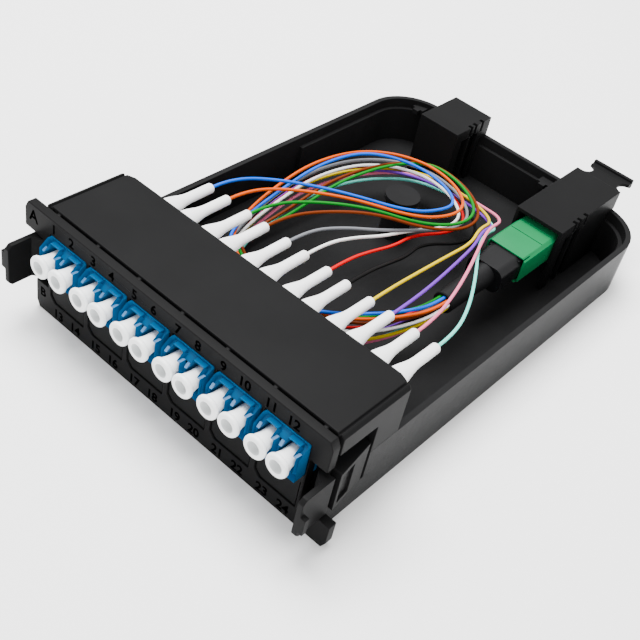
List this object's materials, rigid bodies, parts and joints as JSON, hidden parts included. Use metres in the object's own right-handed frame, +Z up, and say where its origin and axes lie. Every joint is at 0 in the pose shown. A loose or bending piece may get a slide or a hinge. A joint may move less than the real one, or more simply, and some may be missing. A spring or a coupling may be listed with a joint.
{
  "type": "fibre cassette",
  "caption": "Slide-in patching cassette: front row of duplex fibre ports, squeeze latches at the sides, open slack tray with coiled fibres, multi-fibre port at the rear.",
  "frame": {"origin": "centre of the tray's underside, halfway between the faceplate's front and the tray's rear wall", "axes": "+X along the faceplate towards port 12, +Y to the rear port, +Z up"},
  "size_m": [0.1008, 0.164, 0.03],
  "materials": {
    "shell_black": "moulded, slight sheen",
    "adapter_blue": "smooth",
    "cap_white": "translucent moulding",
    "plug_white": "smooth",
    "ceramic": "polished",
    "pin_steel": "ground",
    "coupling_green": "smooth",
    "boot_rubber": "soft",
    "plug_black": "moulded",
    "fibre_blue": "extruded jacket",
    "fibre_orange": "extruded jacket",
    "fibre_green": "extruded jacket",
    "fibre_brown": "extruded jacket",
    "fibre_slate": "extruded jacket",
    "fibre_white": "extruded jacket",
    "fibre_red": "extruded jacket",
    "fibre_black": "extruded jacket",
    "fibre_yellow": "extruded jacket",
    "fibre_violet": "extruded jacket",
    "fibre_rose": "extruded jacket",
    "fibre_aqua": "extruded jacket"
  },
  "bodies": {
    "cassette": {"alignment_sleeves": "ceramic", "base_tray": "shell_black", "blank_hood": "shell_black", "blank_strip": "shell_black", "faceplate": "shell_black", "fibre_01": "fibre_blue", "fibre_02": "fibre_orange", "fibre_03": "fibre_green", "fibre_04": "fibre_brown", "fibre_05": "fibre_slate", "fibre_06": "fibre_white", "fibre_07": "fibre_red", "fibre_08": "fibre_black", "fibre_09": "fibre_yellow", "fibre_10": "fibre_violet", "fibre_11": "fibre_rose", "fibre_12": "fibre_aqua", "guide_pins": "pin_steel", "lc_adapter_1": "adapter_blue", "lc_adapter_2": "adapter_blue", "lc_adapter_3": "adapter_blue", "lc_adapter_4": "adapter_blue", "lc_adapter_5": "adapter_blue", "lc_adapter_6": "adapter_blue", "lc_ferrules": "ceramic", "lc_plug_01": "plug_white", "lc_plug_02": "plug_white", "lc_plug_03": "plug_white", "lc_plug_04": "plug_white", "lc_plug_05": "plug_white", "lc_plug_06": "plug_white", "lc_plug_07": "plug_white", "lc_plug_08": "plug_white", "lc_plug_09": "plug_white", "lc_plug_10": "plug_white", "lc_plug_11": "plug_white", "lc_plug_12": "plug_white", "mpo_adapter": "plug_black", "mpo_boot": "boot_rubber", "mpo_hood": "shell_black", "mpo_plug": "plug_black", "mt_ferrule": "plug_black"},
    "cover": {"front_cover": "shell_black"},
    "latch_right_lever": {"latch_right": "shell_black"},
    "latch_left_lever": {"latch_left": "shell_black"},
    "release_tab": {"rear_release_tab": "shell_black"},
    "coupling": {"mpo_coupling": "coupling_green"},
    "cap_01": {"dust_cap_01": "cap_white"},
    "cap_02": {"dust_cap_02": "cap_white"},
    "cap_03": {"dust_cap_03": "cap_white"},
    "cap_04": {"dust_cap_04": "cap_white"},
    "cap_05": {"dust_cap_05": "cap_white"},
    "cap_06": {"dust_cap_06": "cap_white"},
    "cap_07": {"dust_cap_07": "cap_white"},
    "cap_08": {"dust_cap_08": "cap_white"},
    "cap_09": {"dust_cap_09": "cap_white"},
    "cap_10": {"dust_cap_10": "cap_white"},
    "cap_11": {"dust_cap_11": "cap_white"},
    "cap_12": {"dust_cap_12": "cap_white"}
  },
  "joints": [
    {"name": "cover_lift", "type": "slide", "parent": "cassette", "child": "cover", "axis": [0, 0, 1], "range_m": [0, 0.03]},
    {"name": "latch_right_squeeze", "type": "hinge", "parent": "cassette", "child": "latch_right_lever", "pos_m": [0.0429, -0.05555, 0.015], "axis": [0, 0, -1], "range_deg": [0, 6.5], "stiffness_Nm_per_rad": 0.4},
    {"name": "latch_left_squeeze", "type": "hinge", "parent": "cassette", "child": "latch_left_lever", "pos_m": [-0.0429, -0.05555, 0.015], "axis": [0, 0, 1], "range_deg": [0, 6.5], "stiffness_Nm_per_rad": 0.4},
    {"name": "rear_tab_pull", "type": "slide", "parent": "cassette", "child": "release_tab", "axis": [0, 1, 0], "range_m": [0, 0.003], "stiffness_N_per_m": 500},
    {"name": "coupling_slide", "type": "slide", "parent": "cassette", "child": "coupling", "axis": [0, -1, 0], "range_m": [0, 0.003], "stiffness_N_per_m": 800},
    {"name": "cap_01_pull", "type": "slide", "parent": "cassette", "child": "cap_01", "axis": [0, -1, 0], "range_m": [0, 0.016]},
    {"name": "cap_02_pull", "type": "slide", "parent": "cassette", "child": "cap_02", "axis": [0, -1, 0], "range_m": [0, 0.016]},
    {"name": "cap_03_pull", "type": "slide", "parent": "cassette", "child": "cap_03", "axis": [0, -1, 0], "range_m": [0, 0.016]},
    {"name": "cap_04_pull", "type": "slide", "parent": "cassette", "child": "cap_04", "axis": [0, -1, 0], "range_m": [0, 0.016]},
    {"name": "cap_05_pull", "type": "slide", "parent": "cassette", "child": "cap_05", "axis": [0, -1, 0], "range_m": [0, 0.016]},
    {"name": "cap_06_pull", "type": "slide", "parent": "cassette", "child": "cap_06", "axis": [0, -1, 0], "range_m": [0, 0.016]},
    {"name": "cap_07_pull", "type": "slide", "parent": "cassette", "child": "cap_07", "axis": [0, -1, 0], "range_m": [0, 0.016]},
    {"name": "cap_08_pull", "type": "slide", "parent": "cassette", "child": "cap_08", "axis": [0, -1, 0], "range_m": [0, 0.016]},
    {"name": "cap_09_pull", "type": "slide", "parent": "cassette", "child": "cap_09", "axis": [0, -1, 0], "range_m": [0, 0.016]},
    {"name": "cap_10_pull", "type": "slide", "parent": "cassette", "child": "cap_10", "axis": [0, -1, 0], "range_m": [0, 0.016]},
    {"name": "cap_11_pull", "type": "slide", "parent": "cassette", "child": "cap_11", "axis": [0, -1, 0], "range_m": [0, 0.016]},
    {"name": "cap_12_pull", "type": "slide", "parent": "cassette", "child": "cap_12", "axis": [0, -1, 0], "range_m": [0, 0.016]}
  ]
}
